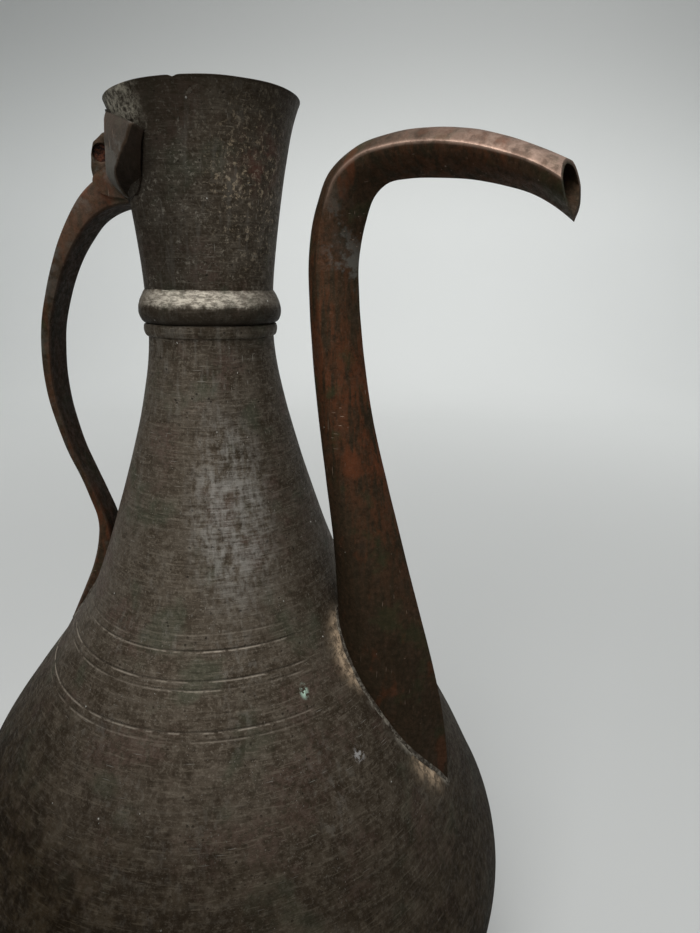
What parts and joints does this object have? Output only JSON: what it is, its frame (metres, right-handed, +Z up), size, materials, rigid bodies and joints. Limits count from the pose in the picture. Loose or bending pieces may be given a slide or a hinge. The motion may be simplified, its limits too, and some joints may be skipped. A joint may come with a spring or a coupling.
{
  "type": "ewer",
  "caption": "Long-necked copper ewer: pear-shaped body on a splayed foot, flared mouth, ringed neck, crook-necked pouring spout, strap handle and an empty lid hinge.",
  "frame": {"origin": "on the vessel's axis, in the plane of the foot's underside", "axes": "+Z up along the vessel's axis, +X towards the root of the spout, the handle lies about 20 degrees off -X towards -Y"},
  "size_m": [0.208, 0.203, 0.3615],
  "materials": {
    "dark_tinned_copper": "tinned copper with a dark brown-grey patina, scratched and stained",
    "worn_copper": "bare hammered copper, dull reddish brown with rubbed bright ridges",
    "rusted_iron": "broken iron pin, rusted dark red-brown",
    "soft_solder": "dull grey soft solder with a chalky crust"
  },
  "bodies": {
    "root": {"mouth_collar": "dark_tinned_copper", "neck_ring": "dark_tinned_copper", "neck_band": "dark_tinned_copper", "body_upper": "dark_tinned_copper", "body_lower": "dark_tinned_copper", "bottom_disc": "dark_tinned_copper", "foot_ring": "dark_tinned_copper", "foot_bead": "dark_tinned_copper", "spout_top_sheet": "worn_copper", "spout_keel_sheet": "worn_copper", "spout_solder": "soft_solder", "handle_strap": "worn_copper", "tail_solder": "soft_solder", "hinge_saddle": "worn_copper", "hinge_cheek_near": "worn_copper", "hinge_cheek_far": "worn_copper", "pin_stub": "rusted_iron", "hinge_solder": "soft_solder"}
  },
  "joints": []
}
